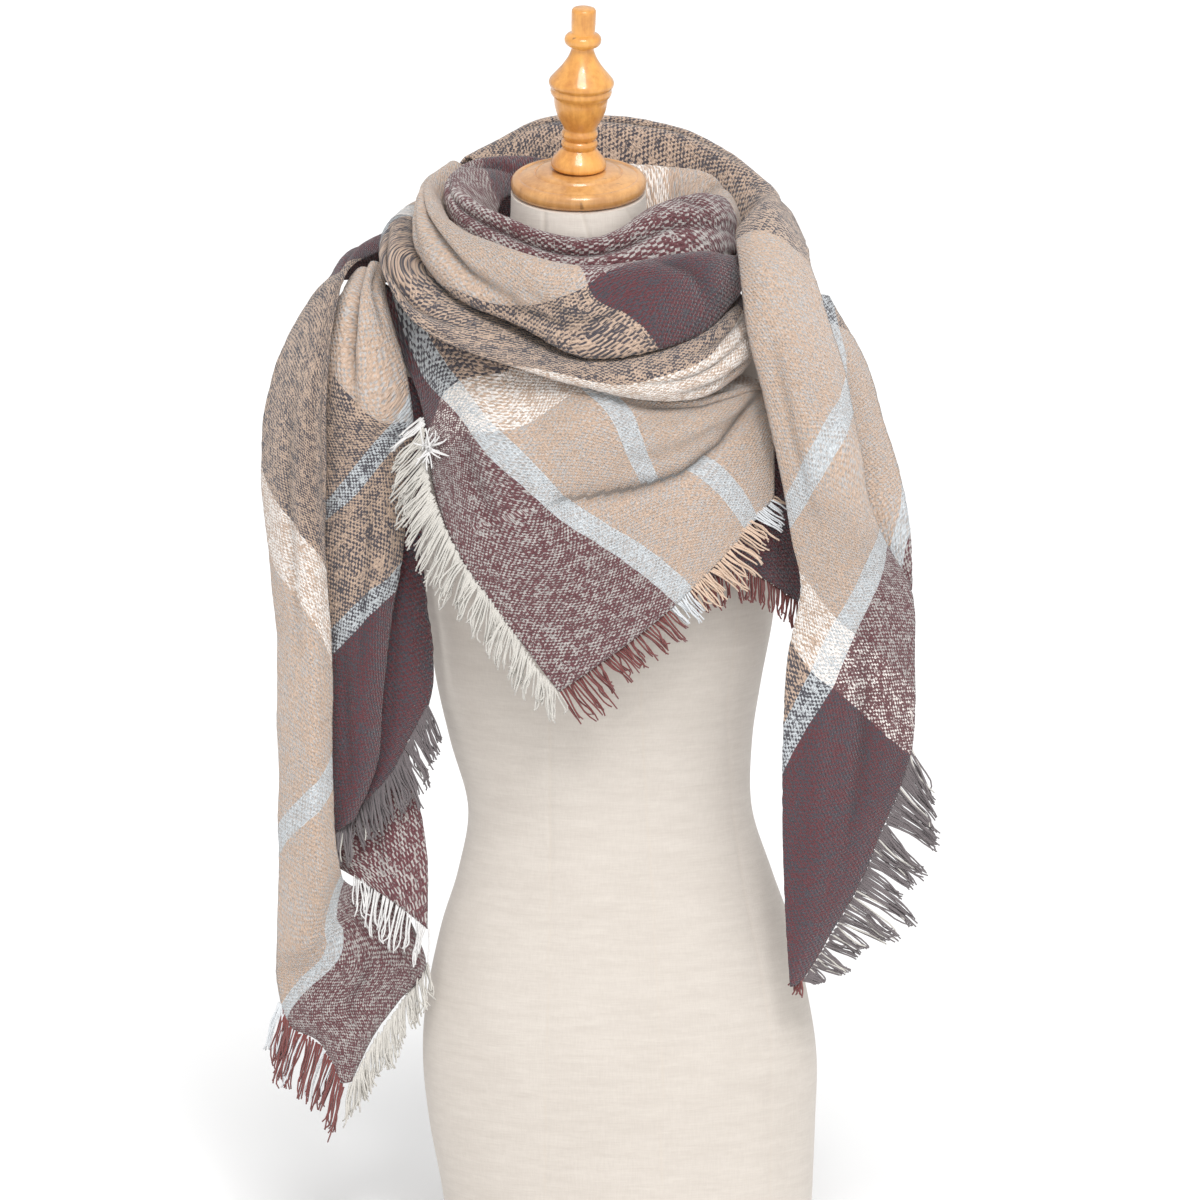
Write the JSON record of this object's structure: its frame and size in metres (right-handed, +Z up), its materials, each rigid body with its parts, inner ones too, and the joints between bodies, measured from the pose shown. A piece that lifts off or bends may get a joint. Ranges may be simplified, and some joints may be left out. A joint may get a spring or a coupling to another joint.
{
  "type": "blanket scarf on a dress form",
  "caption": "Fringed plaid blanket scarf wound round the neck of a limbless linen dress form, its point on the chest and its ends hanging in front.",
  "frame": {"origin": "centre of the dress form's flat underside, directly below the middle of its neck's base within a few centimetres", "axes": "+Z up along the form; -Y is the front, where the scarf's point hangs; +X is the form's own left, the viewer's right"},
  "size_m": [0.5325, 0.3179, 1.0086],
  "materials": {
    "linen": "plain woven linen cover",
    "cap_wood": "satin varnish",
    "finial_wood": "satin varnish",
    "weave_maroon_white": "brushed two-colour weave",
    "weave_beige": "brushed two-colour weave",
    "weave_brown": "brushed two-colour weave",
    "weave_dark_maroon": "brushed two-colour weave",
    "yarn_maroon": "loose yarn ends",
    "yarn_pale_grey": "loose yarn ends",
    "yarn_charcoal": "loose yarn ends"
  },
  "bodies": {
    "root": {"form_torso": "linen", "form_neck_cap": "cap_wood", "form_finial": "finial_wood", "scarf_neck_roll": "weave_maroon_white", "scarf_cowl_upper": "weave_brown", "scarf_cowl_lower": "weave_brown", "scarf_front_panel": "weave_beige", "scarf_front_second": "weave_dark_maroon", "scarf_right_tail": "weave_beige", "scarf_right_tail_fold": "weave_beige", "scarf_left_tail": "weave_beige", "scarf_left_inner": "weave_brown", "scarf_left_strip": "weave_dark_maroon", "scarf_left_short": "weave_maroon_white", "scarf_fringe_front_left": "yarn_pale_grey", "scarf_fringe_front_right": "yarn_maroon", "scarf_fringe_second": "yarn_maroon", "scarf_fringe_left_foot": "yarn_maroon", "scarf_fringe_left_side": "yarn_pale_grey", "scarf_fringe_left_inner": "yarn_charcoal", "scarf_fringe_left_short": "yarn_pale_grey", "scarf_fringe_right_tail": "yarn_charcoal"}
  },
  "joints": []
}
